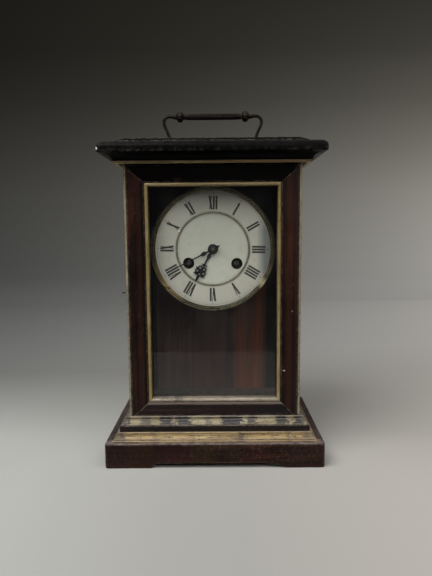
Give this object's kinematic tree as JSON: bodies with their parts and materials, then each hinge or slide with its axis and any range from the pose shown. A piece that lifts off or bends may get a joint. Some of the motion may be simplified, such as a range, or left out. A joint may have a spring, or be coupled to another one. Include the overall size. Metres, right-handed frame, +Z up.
{
  "type": "bracket clock",
  "caption": "Small table clock in a dark wooden case with gilt mouldings, a glazed door, a carrying handle, a striking movement, a pendulum and a coil gong.",
  "frame": {"origin": "bottom centre of the clock, on the surface it stands on", "axes": "+Z up, the dial faces -Y, +X to the right as seen from the front"},
  "size_m": [0.241, 0.1524, 0.3981],
  "materials": {
    "mahogany": "dark polished, worn",
    "ebonised_wood": "black polished, worn",
    "gilt_wood": "gilded, worn",
    "back_board_wood": "stained, dull",
    "dark_brass": "dark patina",
    "glass": "clear, slightly dusty",
    "brass": "aged",
    "steel": "satin",
    "blued_steel": "blued",
    "silvered_dial": "silvered, matt"
  },
  "bodies": {
    "case": {"plinth_front": "mahogany", "plinth_left": "mahogany", "plinth_right": "mahogany", "plinth_back": "mahogany", "base_moulding_lower": "gilt_wood", "case_floor": "ebonised_wood", "base_moulding_upper": "gilt_wood", "case_side_left": "mahogany", "case_side_right": "mahogany", "back_board": "back_board_wood", "cornice": "ebonised_wood", "cornice_bead": "gilt_wood", "crown_board": "ebonised_wood", "handle_grip": "dark_brass", "handle_knob_left": "dark_brass", "handle_knob_right": "dark_brass", "handle_arm_left": "dark_brass", "handle_arm_right": "dark_brass", "latch_screw": "brass", "movement_bracket": "steel", "front_plate": "brass", "back_plate": "brass", "dial_plate": "silvered_dial", "bezel": "brass", "gong_block": "steel", "gong_coil": "blued_steel"},
    "door": {"door_stile_left": "mahogany", "door_stile_right": "mahogany", "door_rail_top": "mahogany", "door_rail_bottom": "mahogany", "door_bead_left": "gilt_wood", "door_bead_right": "gilt_wood", "sight_bead": "gilt_wood", "door_glass": "glass", "hinge_pin_upper": "brass", "hinge_pin_lower": "brass", "latch_pin": "brass"},
    "latch": {"latch_hook": "brass"},
    "minute": {"minute_hand": "blued_steel", "cannon_pinion": "steel"},
    "hour": {"hour_hand": "blued_steel", "hour_wheel": "brass"},
    "minute_wheel": {"minute_wheel": "brass"},
    "time_winder": {"time_winding_arbor": "steel"},
    "strike_winder": {"strike_winding_arbor": "steel"},
    "escape": {"escape_wheel": "brass"},
    "fourth": {"fourth_wheel": "brass"},
    "third": {"third_wheel": "brass"},
    "centre": {"centre_wheel": "brass"},
    "intermediate": {"intermediate_wheel": "brass"},
    "time_barrel": {"time_barrel": "brass", "time_mainspring": "steel"},
    "pendulum": {"pendulum_rod": "steel", "pendulum_bob": "brass"},
    "anchor": {"pallet_anchor": "steel"},
    "pin_wheel": {"pin_wheel": "brass"},
    "strike_barrel": {"strike_barrel": "brass", "strike_mainspring": "steel"},
    "fly": {"fly": "brass"},
    "hammer": {"hammer": "steel"}
  },
  "joints": [
    {"name": "door_swing", "type": "hinge", "parent": "case", "child": "door", "pos_m": [0.0935, -0.04185, 0.19], "axis": [0, 0, 1], "range_deg": [0, 110]},
    {"name": "latch_turn", "type": "hinge", "parent": "case", "child": "latch", "pos_m": [-0.0969, -0.02585, 0.1908], "axis": [1, 0, 0], "range_deg": [0, 270]},
    {"name": "minute_turn", "type": "hinge", "parent": "case", "child": "minute", "pos_m": [-0.00065, -0.0308, 0.2376], "axis": [0, 1, 0], "continuous": true},
    {"name": "hour_turn", "type": "hinge", "parent": "case", "child": "hour", "pos_m": [-0.00065, -0.0288, 0.2376], "axis": [0, 1, 0], "continuous": true},
    {"name": "minute_wheel_turn", "type": "hinge", "parent": "case", "child": "minute_wheel", "pos_m": [-0.00092, -0.018, 0.2216], "axis": [0, 1, 0], "continuous": true},
    {"name": "time_winding", "type": "hinge", "parent": "case", "child": "time_winder", "pos_m": [0.02658, 0, 0.22085], "axis": [0, 1, 0], "continuous": true},
    {"name": "strike_winding", "type": "hinge", "parent": "case", "child": "strike_winder", "pos_m": [-0.02842, 0, 0.22176], "axis": [0, 1, 0], "continuous": true},
    {"name": "escape_turn", "type": "hinge", "parent": "case", "child": "escape", "pos_m": [-0.00027, 0.01, 0.2606], "axis": [0, 1, 0], "continuous": true},
    {"name": "fourth_turn", "type": "hinge", "parent": "case", "child": "fourth", "pos_m": [-0.01237, 0.01, 0.26373], "axis": [0, 1, 0], "continuous": true},
    {"name": "third_turn", "type": "hinge", "parent": "case", "child": "third", "pos_m": [-0.01172, 0.01, 0.24905], "axis": [0, 1, 0], "continuous": true},
    {"name": "centre_turn", "type": "hinge", "parent": "case", "child": "centre", "pos_m": [-0.00065, 0.01, 0.2376], "axis": [0, 1, 0], "continuous": true},
    {"name": "intermediate_turn", "type": "hinge", "parent": "case", "child": "intermediate", "pos_m": [0.01655, 0.01, 0.24699], "axis": [0, 1, 0], "continuous": true},
    {"name": "time_barrel_turn", "type": "hinge", "parent": "case", "child": "time_barrel", "pos_m": [0.02658, 0.01, 0.22085], "axis": [0, 1, 0], "continuous": true},
    {"name": "pendulum_swing", "type": "hinge", "parent": "case", "child": "pendulum", "pos_m": [0, 0.03965, 0.27696], "axis": [0, 1, 0], "range_deg": [-4, 4]},
    {"name": "anchor_rock", "type": "hinge", "parent": "case", "child": "anchor", "pos_m": [0, 0.02, 0.27696], "axis": [0, 1, 0], "range_deg": [-4, 4]},
    {"name": "pin_wheel_turn", "type": "hinge", "parent": "case", "child": "pin_wheel", "pos_m": [-0.03282, 0.01, 0.24941], "axis": [0, 1, 0], "continuous": true},
    {"name": "strike_barrel_turn", "type": "hinge", "parent": "case", "child": "strike_barrel", "pos_m": [-0.02842, 0.01, 0.22176], "axis": [0, 1, 0], "continuous": true},
    {"name": "fly_turn", "type": "hinge", "parent": "case", "child": "fly", "pos_m": [-0.03762, 0.01, 0.26331], "axis": [0, 1, 0], "continuous": true},
    {"name": "hammer_lift", "type": "hinge", "parent": "case", "child": "hammer", "pos_m": [-0.04481, 0.04, 0.19833], "axis": [0, 1, 0], "range_deg": [-25, 0]}
  ],
  "couplings": [
    {"joint": "hour_turn", "follows": "minute_turn", "ratio": 0.083333},
    {"joint": "minute_wheel_turn", "follows": "minute_turn", "ratio": -0.33333},
    {"joint": "fourth_turn", "follows": "escape_turn", "ratio": -0.19048},
    {"joint": "third_turn", "follows": "escape_turn", "ratio": 0.031746},
    {"joint": "centre_turn", "follows": "escape_turn", "ratio": -0.005291},
    {"joint": "intermediate_turn", "follows": "escape_turn", "ratio": 0.00088183},
    {"joint": "time_barrel_turn", "follows": "escape_turn", "ratio": -0.00014697},
    {"joint": "anchor_rock", "follows": "pendulum_swing", "ratio": 1},
    {"joint": "strike_barrel_turn", "follows": "pin_wheel_turn", "ratio": -0.16667},
    {"joint": "fly_turn", "follows": "pin_wheel_turn", "ratio": -6}
  ]
}
